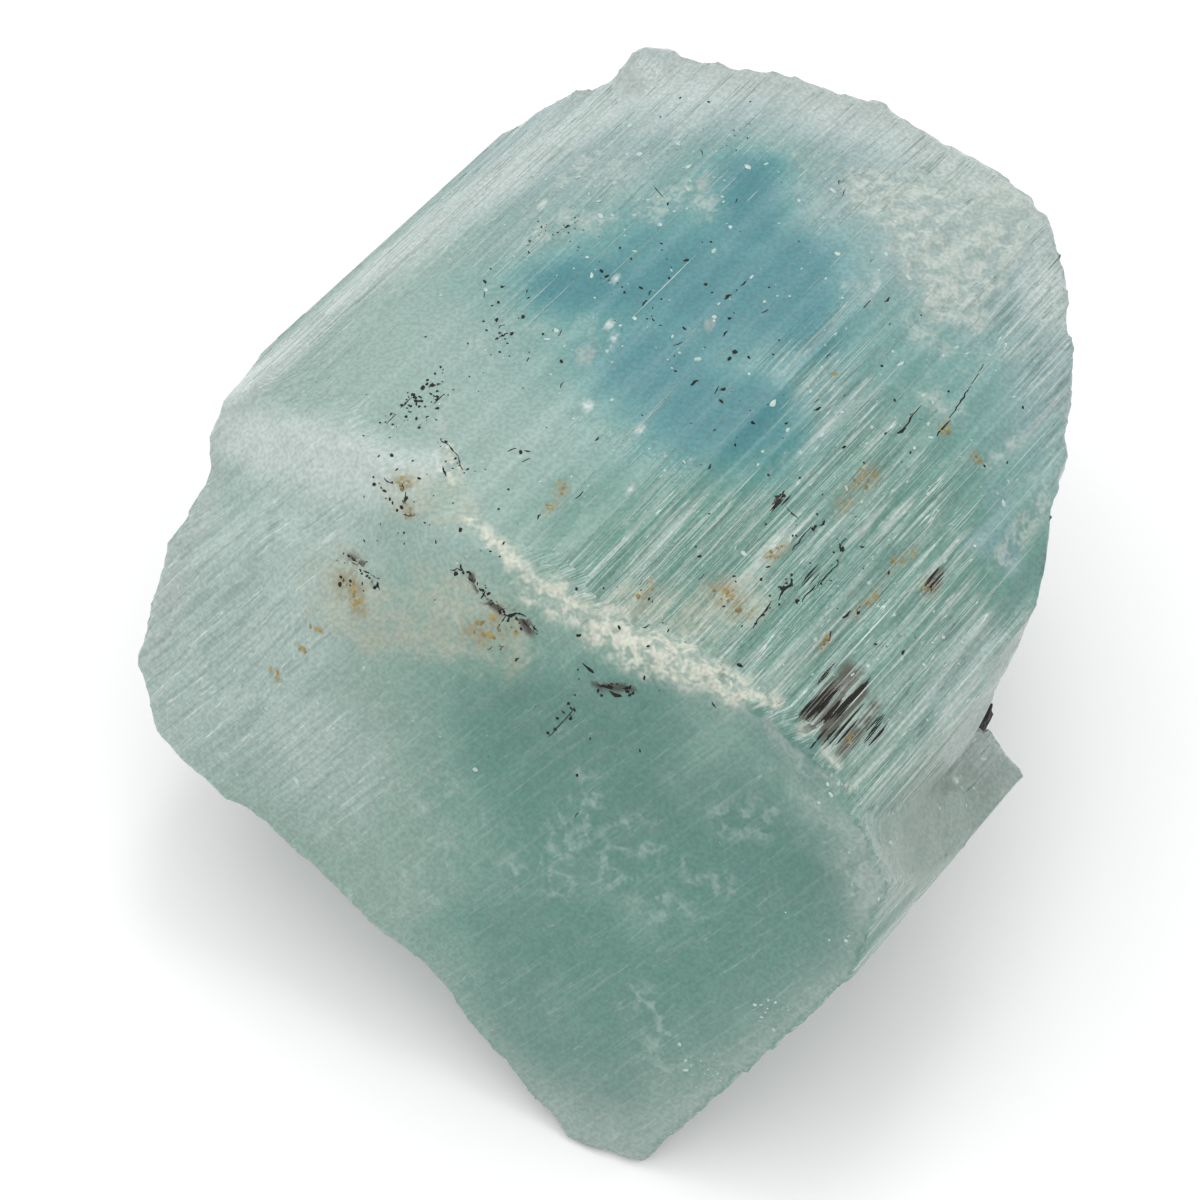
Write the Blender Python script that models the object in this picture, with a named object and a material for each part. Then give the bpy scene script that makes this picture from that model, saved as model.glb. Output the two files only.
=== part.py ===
"""Rough aquamarine crystal: a broken piece of one hexagonal beryl prism, lying on a prism face.

The prism is drawn in its own frame: X along the crystal's long axis, Y to the left of it, Z up.
Extruded outlines make the growth form, with the fine ribs that beryl carries along its length.
Rough breaks and chips then shape the ends. An empty turns the prism to the way it lies.
"""
import math
import random

import bmesh
import bpy
from mathutils import Matrix, Vector, noise

MM = 0.001

# Driving dimensions, in metres and degrees
AXIS_AZIMUTH = 51.5          # long axis, counted from +X towards +Y
BODY_START = -34 * MM
BODY_END = 42 * MM
FRONT_END = 6 * MM           # the front part reaches at most this far along the axis
LEDGE_START = -14 * MM
LEDGE_END = 11 * MM
RIB_WIDTH = 1.05 * MM
GRAIN_GAP = 0.35 * MM        # clearance round the grain of mica

# Corners of the cross-sections (y, z) in mm, each with the rib depth of the stretch that follows.
# They run below the rest face, which is cut last.
BODY_OUTLINE = (
    (25.0, 26.7, 0.35), (21.6, 30.0, 0.30), (15.0, 31.7, 0.15), (5.0, 32.4, 0.10), (-5.0, 32.0, 0.35),
    (-14.0, 30.8, 0.55), (-20.8, 29.4, 0.50), (-24.8, 27.1, 0.30), (-25.5, 21.2, 0.35), (-21.3, 10.0, 0.40),
    (-15.0, -3.0, 0.0), (12.0, -3.0, 0.35), (20.0, 6.0, 0.40), (25.0, 16.0, 0.40),
)
FRONT_OUTLINE = (
    (6.0, 22.0, 0.0), (4.5, 32.4, 0.10), (-6.0, 32.5, 0.15), (-14.0, 32.0, 0.20), (-21.0, 31.0, 0.25),
    (-25.6, 28.2, 0.0), (-28.0, 24.0, 0.0), (-28.2, 17.0, 0.30), (-21.0, 0.0, 0.0),
    (-19.3, -3.0, 0.0), (4.0, -3.0, 0.0),
)
LEDGE_OUTLINE = (
    (-16.0, 21.6, 0.0), (-28.0, 19.4, 0.0), (-28.1, 16.6, 0.25), (-20.0, 0.0, 0.0), (-16.0, -2.0, 0.0),
)

# Breaks: a point on the face (mm), azimuth and elevation of its outward normal (degrees), the height
# of its waves, the size of its facets and the depth of its shell-like hollow at that point (mm)
END_BREAKS = {
    "front_face": ((-15.5, -8.0, 19.0), 192.7, 27.8, 0.40, 1.7, 0.0),
    "left_face": ((-14.5, 14.0, 26.0), 166.0, 48.0, 0.50, 1.8, 0.3),
    "left_blend": ((-16.8, 9.8, 23.5), 177.0, 38.0, 0.40, 1.8, 0.0),
    "front_undercut": ((-24.1, -3.0, 5.9), 162.0, -33.0, 0.40, 2.4, 1.9),
    "foot": ((-23.7, -17.4, 0.5), 198.0, -43.0, 0.30, 2.8, 0.0),
    "left_corner": ((-15.6, 21.8, 22.5), 105.7, 3.0, 0.40, 2.4, 0.3),
    "left_end": ((-22.8, 18.4, 16.2), 132.5, -12.5, 0.40, 2.4, 0.0),
    "lower_bevel": ((-18.0, -24.2, 9.0), 228.0, 2.0, 0.20, 2.0, 0.0),
    "crest_bevel": ((-8.4, -13.5, 30.6), 190.0, 50.0, 0.30, 1.6, 0.0),
    "near_knob": ((24.7, 22.2, 28.1), 57.0, 16.0, 0.40, 2.4, 0.0),
    "far_left": ((33.9, 11.5, 15.6), 21.0, 4.0, 0.50, 2.2, 1.0),
    "far_end": ((34.1, -1.4, 14.8), -1.5, -3.0, 0.50, 2.2, 1.0),
    "far_corner": ((34.0, -9.8, 31.2), -42.0, -6.0, 0.40, 2.4, 0.0),
    "far_right": ((28.7, -14.6, 30.2), -44.0, -8.0, 0.40, 2.2, 0.0),
    "frosted_corner": ((29.5, -5.5, 31.65), -20.0, 83.0, 0.25, 1.7, 0.0),
}
RIGHT_BREAKS = {
    "right_side": ((22.6, -20.3, 29.4), -66.0, -20.0, 0.45, 2.2, 0.3),
    "right_corner": ((24.6, -17.7, 29.5), -56.0, -16.0, 0.40, 2.2, 0.0),
}
FLANKS = {
    "flank": ((-7.4, -13.5, 32.1), 12.0, 58.0, 0.30, 1.5, 0.3),
    "flank_end": ((-6.2, -25.0, 28.0), -12.0, 42.0, 0.30, 1.8, 0.8),
    "scoop": ((-1.6, -26.2, 21.8), -56.0, 38.0, 0.30, 1.8, 0.8),
}
LEDGE_BREAKS = {
    "ledge_top": ((0.5, -26.3, 18.2), -84.0, 60.0, 0.35, 1.8, 0.5),
    "ledge_side": ((-1.8, -28.4, 16.9), -103.0, -38.0, 0.25, 2.0, 0.0),
    "ledge_end": ((7.2, -26.0, 16.5), -6.0, 4.0, 0.35, 1.8, 0.0),
    "ledge_corner": ((6.0, -29.0, 16.0), -48.0, -6.0, 0.30, 1.8, 0.0),
}
HOLLOW_SPAN = 17 * MM        # a hollow's radius

# Chips knocked off the edges: centre and size in mm
CHIPS = (
    ((-12.8, 23.4, 23.0), (7.6, 5.6, 11.0)), ((-11.0, 25.4, 18.5), (14.0, 4.4, 9.0)),
    ((20.0, -21.8, 28.6), (5.0, 3.4, 8.0)), ((36.4, 2.6, 32.0), (3.0, 2.6, 6.0)),
    ((-5.2, -30.2, 17.4), (13.0, 5.0, 12.0)),
    ((35.1, -9.1, 31.0), (2.6, 3.4, 6.0)),
    ((28.0, 21.6, 28.0), (3.0, 3.0, 6.0)), ((-12.6, 6.0, 33.0), (7.5, 6.0, 4.6)),
    ((-13.0, -1.4, 31.6), (5.5, 4.6, 3.6)), ((-5.6, 7.6, 33.4), (3.4, 4.6, 3.2)),
)

# A small clear knob on the far rim, part of the same crystal, and the grain of mica: centre and size
KNOB = ((28.6, 18.4, 29.2), (5.6, 4.6, 6.0))
MICA_GRAIN = ((7.3, -23.4, 17.6), (4.6, 2.6, 2.8))

# Hexagonal etch pits on the top: (x, y), width and depth in mm
ETCH_PITS = (
    (6.0, 6.0, 1.8, 0.6), (12.5, 1.5, 1.3, 0.5), (18.0, -8.0, 1.4, 0.5), (3.0, -9.0, 1.2, 0.5),
    (22.0, 9.0, 1.5, 0.5), (-3.5, 9.5, 1.6, 0.6), (26.5, -2.0, 1.2, 0.4),
)


def clear_scene():
    for obj in list(bpy.data.objects):
        bpy.data.objects.remove(obj)


def collection(name):
    made = bpy.data.collections.new(name)
    bpy.context.scene.collection.children.link(made)
    return made


def material(name, colour, roughness, transmission=0.0):
    made = bpy.data.materials.new(name)
    made.use_nodes = True
    shader = made.node_tree.nodes["Principled BSDF"]
    shader.inputs["Base Color"].default_value = (*colour, 1.0)
    shader.inputs["Roughness"].default_value = roughness
    shader.inputs["Metallic"].default_value = 0.0
    shader.inputs["Transmission Weight"].default_value = transmission
    shader.inputs["IOR"].default_value = 1.58
    return made


def new_object(name, shape, group, axis):
    """An object in the crystal's frame, made from the finished bmesh."""
    mesh = bpy.data.meshes.new(name)
    shape.to_mesh(mesh)
    shape.free()
    obj = bpy.data.objects.new(name, mesh)
    group.objects.link(obj)
    obj.parent = axis
    return obj


def helper(obj):
    obj.hide_render = True
    obj.display_type = "WIRE"
    return obj


def direction(azimuth, elevation):
    """Unit vector of a face's outward normal."""
    a = math.radians(azimuth)
    e = math.radians(elevation)
    return Vector((math.cos(a) * math.cos(e), math.sin(a) * math.cos(e), math.sin(e)))


def ribbed(outline, seed):
    """The outline's points in metres, with a rib every RIB_WIDTH or so."""
    rng = random.Random(seed)
    points = []
    for (y0, z0, depth), (y1, z1, _) in zip(outline, outline[1:] + outline[:1]):
        start = Vector((y0, z0)) * MM
        run = Vector((y1, z1)) * MM - start
        outward = Vector((run.y, -run.x)).normalized()
        points.append(start)
        ribs = int(run.length / RIB_WIDTH) if depth else 0
        for i in range(1, ribs):
            share = (i + rng.uniform(-0.25, 0.25)) / ribs
            cut = depth * MM * rng.uniform(0.35, 1.0) * (i % 2)
            points.append(start + run * share - outward * cut)
    return points


def extruded(name, outline, start, end, group, axis, seed):
    """A prism along X: a flat 2D curve of the ribbed outline, extruded both ways and made a mesh."""
    curve = bpy.data.curves.new(name, "CURVE")
    curve.dimensions = "2D"
    curve.fill_mode = "BOTH"
    curve.extrude = (end - start) / 2
    spline = curve.splines.new("POLY")
    points = ribbed(outline, seed)
    spline.points.add(len(points) - 1)
    for point, (y, z) in zip(spline.points, points):
        point.co = (y, z, 0, 1)
    spline.use_cyclic_u = True
    drawn = bpy.data.objects.new(name + "_outline", curve)
    group.objects.link(drawn)
    bpy.context.view_layer.update()
    filled = bpy.data.meshes.new_from_object(drawn.evaluated_get(bpy.context.evaluated_depsgraph_get()))
    bpy.data.objects.remove(drawn)
    shape = bmesh.new()
    shape.from_mesh(filled)
    bpy.data.meshes.remove(filled)
    bmesh.ops.remove_doubles(shape, verts=shape.verts, dist=1e-6)
    # the curve is drawn in XY and extruded in Z: turn its X to Y, its Y to Z and its Z to X
    turn = Matrix(((0, 0, 1, (start + end) / 2), (1, 0, 0, 0), (0, 1, 0, 0), (0, 0, 0, 1)))
    bmesh.ops.transform(shape, matrix=turn, verts=shape.verts)
    bmesh.ops.recalc_face_normals(shape, faces=shape.faces)
    return new_object(name, shape, group, axis)


def break_cutter(name, spec, seed, group, axis, reach=46 * MM, depth=30 * MM):
    """A block whose inner side is a rough break: broad waves, a shell-like hollow, fine facets."""
    point, azimuth, elevation, relief, cell, hollow = spec
    rng = random.Random(seed)
    steps = int(2 * reach / (cell * MM))
    shape = bmesh.new()
    bmesh.ops.create_grid(shape, x_segments=steps, y_segments=steps, size=reach)
    inner = list(shape.verts)
    lifted = bmesh.ops.extrude_face_region(shape, geom=shape.faces[:])["geom"]
    outer = [v for v in lifted if isinstance(v, bmesh.types.BMVert)]
    bmesh.ops.translate(shape, verts=outer, vec=(0, 0, depth))
    for vert in inner:
        waves = noise.fractal(vert.co / (9 * MM) + Vector((seed * 7.3, 0, 0)), 0.9, 2.1, 3)
        scoop = hollow * max(0.0, 1 - vert.co.length_squared / HOLLOW_SPAN ** 2)
        vert.co.z = MM * (relief * (1.6 * waves + rng.uniform(-0.2, 0.2)) - scoop)
        vert.co.x += rng.uniform(-0.3, 0.3) * cell * MM
        vert.co.y += rng.uniform(-0.3, 0.3) * cell * MM
    bmesh.ops.triangulate(shape, faces=shape.faces)
    bmesh.ops.recalc_face_normals(shape, faces=shape.faces)
    cutter = helper(new_object(name, shape, group, axis))
    cutter.rotation_mode = "QUATERNION"
    cutter.rotation_quaternion = direction(azimuth, elevation).to_track_quat("Z", "Y")
    cutter.location = Vector(point) * MM
    return cutter


def lump(name, spec, seed, group, axis, relief=0.12, fineness=2):
    """A rough lump: an icosphere squared off towards a box, with uneven facets."""
    centre, size = spec
    shape = bmesh.new()
    bmesh.ops.create_icosphere(shape, subdivisions=fineness, radius=1.0)
    for vert in shape.verts:
        boxy = max(abs(c) for c in vert.co)
        push = 1 + relief * noise.noise(vert.co * 1.7 + Vector((seed * 3.1, 0, 0)))
        vert.co *= push / (0.35 + 0.65 * boxy) / 1.25
        vert.co = Vector(c * s * MM / 2 for c, s in zip(vert.co, size))
    made = new_object(name, shape, group, axis)
    made.location = Vector(centre) * MM
    return made


def etch_pit(name, spec, group, axis):
    """A six-sided pit, its point down, as natural etching leaves on beryl."""
    x, y, width, depth = spec
    shape = bmesh.new()
    bmesh.ops.create_cone(shape, cap_ends=True, segments=6, radius1=0.25 * width * MM,
                          radius2=width * MM, depth=4 * depth * MM)
    made = helper(new_object(name, shape, group, axis))
    made.location = (x * MM, y * MM, top_height(y) + depth * MM)
    return made


def top_height(y):
    """Height of the body's top at y mm, read from the outline's upper corners."""
    corners = [(cy, cz) for cy, cz, _ in BODY_OUTLINE[:8]]
    for (y0, z0), (y1, z1) in zip(corners, corners[1:]):
        if y1 <= y <= y0:
            return (z0 + (z1 - z0) * (y - y0) / (y1 - y0)) * MM
    return corners[-1][1] * MM


def boolean(target, tool, operation):
    change = target.modifiers.new(tool.name, "BOOLEAN")
    change.operation = operation
    change.object = tool


def break_off(target, breaks, seed, group, axis):
    for number, (name, spec) in enumerate(breaks.items()):
        boolean(target, break_cutter(name, spec, seed + number, group, axis), "DIFFERENCE")


def rest_cutter(group, axis):
    """Everything under the rest face, which is flat."""
    shape = bmesh.new()
    bmesh.ops.create_cube(shape, size=200 * MM)
    made = helper(new_object("rest_cut", shape, group, axis))
    made.location.z = -100 * MM
    return made


def build_crystal(parts, cutters, axis):
    crystal = extruded("aquamarine_crystal", BODY_OUTLINE, BODY_START, BODY_END, parts, axis, seed=3)
    break_off(crystal, RIGHT_BREAKS, 31, cutters, axis)
    front = helper(extruded("front_part", FRONT_OUTLINE, BODY_START - MM, FRONT_END, cutters, axis, seed=8))
    break_off(front, FLANKS, 21, cutters, axis)
    boolean(crystal, front, "UNION")
    ledge = helper(extruded("ledge", LEDGE_OUTLINE, LEDGE_START, LEDGE_END, cutters, axis, seed=5))
    break_off(ledge, LEDGE_BREAKS, 61, cutters, axis)
    boolean(crystal, ledge, "UNION")
    break_off(crystal, END_BREAKS, 41, cutters, axis)
    boolean(crystal, helper(lump("knob", KNOB, 9, cutters, axis, fineness=3)), "UNION")
    for number, spec in enumerate(CHIPS):
        boolean(crystal, helper(lump(f"chip_{number}", spec, number, cutters, axis, relief=0.4)), "DIFFERENCE")
    for number, spec in enumerate(ETCH_PITS):
        boolean(crystal, etch_pit(f"etch_pit_{number}", spec, cutters, axis), "DIFFERENCE")
    boolean(crystal, rest_cutter(cutters, axis), "DIFFERENCE")
    crystal.data.materials.append(material("beryl", (0.55, 0.72, 0.70), 0.22, transmission=0.45))
    return crystal


def build_grain(crystal, parts, cutters, axis):
    grain = lump("mica_grain", MICA_GRAIN, 13, parts, axis, relief=0.35)
    pocket = helper(lump("grain_pocket", MICA_GRAIN, 13, cutters, axis, relief=0.35))
    pocket.scale = [1 + 2 * GRAIN_GAP / (side * MM) for side in MICA_GRAIN[1]]
    boolean(crystal, pocket, "DIFFERENCE")
    grain.data.materials.append(material("mica", (0.20, 0.17, 0.13), 0.6))
    return grain


def stand_on_origin(axis, pieces):
    """Moves the frame so that the object's box is centred over the origin and rests at height 0."""
    bpy.context.view_layer.update()
    graph = bpy.context.evaluated_depsgraph_get()
    corners = []
    for piece in pieces:
        shown = piece.evaluated_get(graph)
        corners += [shown.matrix_world @ vert.co for vert in shown.data.vertices]
    for side in range(2):
        spread = [corner[side] for corner in corners]
        axis.location[side] -= (min(spread) + max(spread)) / 2


def main():
    clear_scene()
    parts = collection("aquamarine")
    cutters = collection("cutters")
    axis = bpy.data.objects.new("crystal_axis", None)
    parts.objects.link(axis)
    axis.rotation_euler.z = math.radians(AXIS_AZIMUTH)
    crystal = build_crystal(parts, cutters, axis)
    grain = build_grain(crystal, parts, cutters, axis)
    stand_on_origin(axis, (crystal, grain))


main()
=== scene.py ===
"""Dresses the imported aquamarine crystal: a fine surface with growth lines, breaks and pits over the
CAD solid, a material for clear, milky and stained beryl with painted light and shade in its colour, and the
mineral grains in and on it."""
import math
import random

import bmesh
import bpy
import numpy as np
from mathutils import Matrix, Vector, noise
from mathutils.bvhtree import BVHTree


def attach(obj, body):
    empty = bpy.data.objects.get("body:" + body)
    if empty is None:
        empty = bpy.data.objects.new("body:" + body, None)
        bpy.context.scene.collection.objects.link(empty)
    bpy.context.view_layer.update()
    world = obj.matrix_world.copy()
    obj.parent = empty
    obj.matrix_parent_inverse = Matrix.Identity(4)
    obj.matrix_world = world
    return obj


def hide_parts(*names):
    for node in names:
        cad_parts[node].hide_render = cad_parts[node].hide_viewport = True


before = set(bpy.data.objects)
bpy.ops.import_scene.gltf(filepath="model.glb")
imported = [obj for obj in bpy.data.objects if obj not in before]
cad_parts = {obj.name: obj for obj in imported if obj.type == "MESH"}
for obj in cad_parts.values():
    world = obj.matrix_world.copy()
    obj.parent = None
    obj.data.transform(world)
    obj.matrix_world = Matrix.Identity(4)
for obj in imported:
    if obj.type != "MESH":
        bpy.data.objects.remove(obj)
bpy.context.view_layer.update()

MM = 0.001

# The prism's own frame, as in the CAD: X along the long axis, Y to its left, Z up
PRISM_AZIMUTH = math.radians(51.5)
PRISM_ORIGIN = Vector((-0.231, -3.485, 0.0)) * MM

# The photograph's view, and its frame in pixels
VIEW_ELEVATION = math.radians(55)
VIEW_DISTANCE = 211 * MM
VIEW_HEIGHT = 18 * MM
LENS = 100.0
SENSOR = 36.0
NEAREST = 10 * MM
PHOTO_SIZE = 1200

# The room: lights as (name, place in metres, size, power), where they point, the white around and
# the floor's size and its gap to the rest face
LIGHTS = (
    ("top_light", (0.05, 0.22, 0.50), 0.20, 0.42),
    ("left_light", (-0.5, 0.15, 0.35), 0.30, 0.20),
)
LIT_HEIGHT = 15 * MM
SURROUNDINGS = 1.13
FLOOR_SIZE = 3.0
FLOOR_GAP = 0.02 * MM

# Light bounces: the milky stone needs no more
BOUNCES = 4
DIFFUSE_BOUNCES = 1
GLOSSY_BOUNCES = 2

# The fine surface: voxels are longer along the prism, as its growth lines are
VOXEL = 0.27 * MM
VOXEL_STRETCH = 2.4
STREAK_STRETCH = 26.0
STREAK_DEPTH = 8
REST_HEIGHT = 0.05

# Relief in mm. The ribs are those of the whole prism and what its right half adds.
BROAD_RIBS = (0.05, 0.15)
NARROW_RIBS = (0.03, 0.12)
LEDGES = 0.22
GRIT = 0.05
CREST_STRANDS = 0.34
CREST_GRIT = 0.10
CREST_FOOT = 0.08
FROST_STRANDS = 0.10
FROST_GRIT = 0.12
FROST_DEPTH = 0.12
CRACK_DEPTH = 0.14
GROOVE_DEPTH = 0.25
LIFT_LIMITS = (-0.6, 0.35)

# Rays that feel how thick the stone is: how many, how far they spread, where they start and the
# depth in mm at which the thinness has faded
THIN_RAYS = 5
RAY_SPREAD = 0.9
RAY_START = 0.4
THIN_FADE = 7

# Thin strips: the most and least of what stands out and is sunk, in mm
NEEDLE_PROUD = 0.03
NEEDLE_SUNK = 0.12
NEEDLE_STEP = 0.3
PLATE_PROUD = 0.02
RIDGE_PROUD = 0.035
STRIP_SUNK = 0.06
STRIP_STEP = 0.8
ABOVE = 45

# Growth ridges: how many are tried, where along and across the prism, the longest, and the share
# that is kept on the right and on the left
RIDGES = 3000
RIDGE_AREA = ((-30, 40), (-27, 30))
RIDGE_LONGEST = 16
RIDGES_KEPT = (0.95, 0.5)

# Beryl's optics
BERYL_IOR = 1.58
ABSORPTION = (0.35, 0.84, 0.84, 1.0)
ABSORPTION_DENSITY = 45.0
CRUMB_CLEARNESS = 0.12
NEEDLE_SPECULAR = 0.25

# The broken faces that show the streaks inside: their outward directions and the way that the
# streaks run over them, in the prism's frame
STREAKED_FACES = (((-0.863, -0.195, 0.466), (0.501, -0.448, 0.741)),
                  ((-0.649, 0.162, 0.743), (0.637, -0.419, 0.648)))

# Where the photograph shows what. Each zone: how ragged and how soft its edge is, and its spots and
# lines as (radius in mm, pixels).
ZONES = {
    "milk": (0.3, 0.8, (
        (9.0, ((420, 370), (500, 420))), (6.0, ((330, 420), (300, 470))), (5.0, ((480, 520), (560, 470))))),
    "halo": (0.35, 0.8, (
        (8.0, ((640, 300), (780, 330))), (7.0, ((760, 480), (690, 430))), (6.0, ((900, 360), (960, 470))),
        (4.0, ((540, 290), (750, 180))))),
    "green": (0.35, 0.8, (
        (6.0, ((620, 560), (700, 560), (760, 490))), (6.0, ((810, 600), (880, 590))),
        (6.0, ((880, 480), (960, 560))))),
    "window": (0.2, 0.8, (
        (5.6, ((690, 290), (755, 300))), (2.4, ((560, 285), (620, 285))), (2.2, ((748, 180), (752, 230))),
        (3.8, ((660, 360), (700, 410), (745, 415))), (2.8, ((800, 330), (800, 260))))),
    # The front face's teal is partly its own colour and partly painted shade of a face turned from the light;
    # the deep spots below darken it further as painted shade.
    "teal_and_front_shade": (0.25, 0.75, (
        (8.0, ((640, 830),)), (7.0, ((560, 800), (760, 870))), (6.0, ((540, 930), (640, 1010), (740, 960))),
        (5.0, ((500, 730), (620, 730))), (4.0, ((520, 1010), (600, 1080))), (4.0, ((800, 880), (810, 940))),
        (2.0, ((770, 730), (810, 770))))),
    "front_shade_patch": (0.4, 0.8, (
        (3.4, ((730, 820), (790, 860))), (2.6, ((540, 720), (640, 745))), (2.4, ((640, 800), (700, 790))))),
    "left": (0.3, 0.8, (
        (7.0, ((200, 560), (180, 650))), (4.5, ((240, 700), (300, 750))), (5.0, ((300, 540), (270, 620))))),
    # The rim tint is painted light: the outline and its edges painted near white, as lit through the thin
    # stone.
    "rim": (0.6, 0.8, (
        (3.0, ((640, 75), (850, 100), (1000, 185))), (1.6, ((1050, 300), (1040, 230))),
        (1.3, ((945, 700), (985, 635))), (1.8, ((600, 110), (450, 210), (330, 310), (240, 390))),
        (2.0, ((220, 430), (330, 455), (390, 470))))),
    "lobe": (0.2, 0.6, (
        (4.0, ((930, 800), (985, 790), (1010, 800))), (3.0, ((900, 860), (960, 850))))),
    # The groove's darker tint is painted shade in the groove.
    "groove": (0.3, 0.6, (
        (0.6, ((920, 740), (942, 700), (970, 660), (1000, 622), (1045, 560))),)),
    "smooth": (0.3, 0.5, (
        (1.3, ((955, 745), (990, 690), (1020, 640), (1045, 600))),)),
    "blue_spot": (0.5, 0.4, (
        (1.0, ((980, 545), (992, 535))), (0.8, ((1008, 560), (1000, 500))), (0.7, ((825, 433),)))),
    "frost": (0.6, 0.3, (
        (2.4, ((880, 190), (915, 225), (945, 275))), (2.3, ((1005, 205), (985, 250), (955, 300))),
        (1.6, ((930, 180), (1010, 240))))),
    "rime": (1.0, 0.5, (
        (0.9, ((655, 212), (690, 188), (708, 212))), (0.9, ((597, 178), (622, 172))),
        (0.8, ((530, 245), (565, 220), (600, 222))), (0.6, ((850, 285), (866, 296))),
        (0.7, ((910, 320), (940, 350))), (0.6, ((925, 395), (960, 420))), (0.6, ((985, 470), (1020, 440))),
        (0.8, ((1000, 560), (1040, 500))), (0.7, ((560, 180), (600, 150))), (0.6, ((640, 130), (690, 120))))),
    # Flecks are small white specks, partly painted glints and highlights.
    "fleck_and_glint": (0.8, 0.4, (
        (0.16, ((606, 318), (612, 330), (614, 345))), (0.12, ((615, 276), (616, 286))), (0.15, ((756, 380),)),
        (0.14, ((776, 379),)), (0.18, ((874, 278), (876, 286))), (0.16, ((585, 405), (592, 412))),
        (0.14, ((630, 490),)), (0.22, ((956, 774), (958, 782))), (0.18, ((436, 450), (440, 470))),
        (0.2, ((296, 779),)), (0.14, ((640, 430), (646, 426))), (0.22, ((480, 130), (500, 120))),
        (0.18, ((430, 190),)), (0.18, ((475, 192),)), (0.18, ((543, 205),)),
        (0.25, ((1000, 795), (1010, 800))))),
    # The crest is pale crumbly stone, partly painted light as a ridge lit from above.
    "cream_and_lit_crest": (0.8, 0.45, (
        (0.6, ((514, 560), (534, 574))), (1.1, ((530, 585), (574, 612))), (1.4, ((600, 630), (627, 643))),
        (1.5, ((650, 650), (690, 663))), (1.0, ((712, 674), (740, 687))), (0.4, ((752, 692), (777, 703))),
        (0.16, ((777, 703), (805, 730), (832, 757), (852, 788))), (0.35, ((448, 448), (456, 480))),
        (0.5, ((470, 520), (500, 548))))),
    "blush": (0.9, 0.5, (
        (2.5, ((342, 590), (375, 618))), (2.5, ((445, 610), (490, 628))), (1.6, ((400, 630), (440, 642))),
        (1.6, ((700, 610), (740, 600))), (1.4, ((640, 600), (600, 620))), (1.4, ((400, 490), (450, 505))))),
    "stain": (0.7, 0.5, (
        (0.7, ((345, 580), (360, 606))), (0.9, ((474, 632), (500, 626))), (0.32, ((562, 484), (562, 494))),
        (0.16, ((557, 502), (544, 514))), (0.7, ((722, 590), (742, 612))), (0.3, ((642, 600), (652, 580))),
        (0.4, ((944, 424), (945, 430))), (0.25, ((272, 670), (280, 678))), (0.22, ((298, 646), (304, 651))),
        (0.22, ((314, 627), (320, 631))), (0.55, ((843, 506), (858, 488), (873, 470))), (0.2, ((833, 374),)),
        (0.35, ((396, 480), (408, 486))), (0.3, ((404, 500), (410, 516))), (0.3, ((846, 742), (852, 732))),
        (0.3, ((855, 615), (878, 594))), (0.3, ((894, 566), (914, 553))), (0.35, ((976, 457),)),
        (0.35, ((768, 556), (784, 546))), (0.25, ((822, 645), (830, 636))), (0.4, ((924, 585), (932, 592))))),
    "mica": (0.5, 0.3, (
        (0.8, ((812, 720), (850, 676))), (0.7, ((828, 726), (858, 692))), (0.34, ((842, 752), (875, 706))),
        (0.4, ((930, 590), (940, 574))))),
    "veil": (0.5, 0.6, (
        (1.0, ((650, 820), (612, 835), (610, 870), (650, 905), (700, 905), (722, 880))),
        (1.0, ((650, 850), (690, 870))), (1.4, ((725, 822), (760, 820))), (1.8, ((650, 1010), (665, 1055))),
        (1.6, ((560, 845), (590, 800))), (1.2, ((810, 770), (850, 840), (866, 880))),
        (1.4, ((520, 870), (560, 880))))),
    "calm": (0.3, 0.6, (
        (6.0, ((480, 420), (440, 350))), (5.0, ((560, 480), (420, 520))), (7.5, ((670, 300), (740, 270))),
        (5.0, ((620, 370), (740, 420))), (4.5, ((900, 340), (980, 430))), (3.6, ((1000, 480), (1020, 560))),
        (4.0, ((960, 240), (880, 260))), (3.0, ((930, 840), (1000, 795))))),
    "crack": (0.3, 0.5, (
        (0.22, ((350, 557), (364, 566), (376, 584))), (0.22, ((470, 575), (484, 600), (506, 612))),
        (0.35, ((506, 612), (518, 614), (531, 630))), (0.25, ((596, 684), (632, 690))))),
}

# Tints laid over each other in this order: zone, colour and share
TINTS = (
    ("milk", (152, 180, 172), 0.75), ("halo", (98, 154, 148), 0.8), ("green", (87, 141, 125), 0.85),
    # The teal tint is partly painted shade of the front face, and the deep tint is painted shade.
    ("window", (60, 150, 159), 0.9), ("teal_and_front_shade", (78, 138, 124), 0.9), ("front_shade_patch", (76, 126, 115), 0.4),
    # The rim tint is painted light along the outline.
    ("left", (172, 190, 185), 0.75), ("rim", (198, 210, 206), 0.85), ("lobe", (138, 152, 145), 0.8),
    # The groove tint is painted shade.
    ("groove", (96, 138, 130), 0.6), ("smooth", (170, 180, 176), 0.8), ("blue_spot", (112, 154, 156), 0.8),
)

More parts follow.
